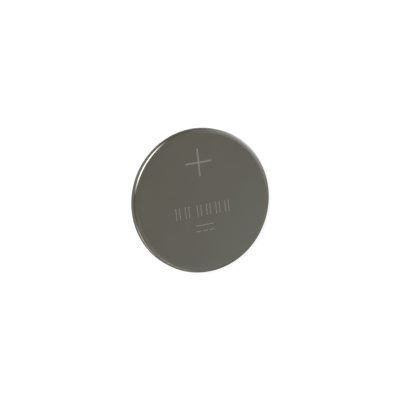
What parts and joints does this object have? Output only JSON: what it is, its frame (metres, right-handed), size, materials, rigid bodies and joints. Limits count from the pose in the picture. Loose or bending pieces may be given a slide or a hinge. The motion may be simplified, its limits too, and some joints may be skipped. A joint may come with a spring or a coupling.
{
  "type": "lithium coin cell",
  "caption": "Flat round coin cell: a drawn steel can with a plain positive face, crimped over a gasket and a stepped negative cap, with the electrodes sealed inside.",
  "frame": {"origin": "centre of the negative contact face, which the cell lies on", "axes": "+Z along the cell's axis towards the positive face; seen from above with +Y up, the polarity mark is upright and +X is to its right"},
  "size_m": [0.016, 0.016, 0.002],
  "materials": {
    "can_steel": "satin nickel plate",
    "cap_steel": "satin nickel plate",
    "gasket_plastic": "moulded",
    "lithium_metal": "rolled, dull",
    "separator_felt": "non-woven",
    "cathode_mix": "pressed powder",
    "ring_steel": "bright"
  },
  "bodies": {
    "root": {"positive_can": "can_steel", "negative_cap": "cap_steel", "sealing_gasket": "gasket_plastic", "lithium_anode": "lithium_metal", "separator": "separator_felt", "cathode_pellet": "cathode_mix", "cathode_ring": "ring_steel"}
  },
  "joints": []
}
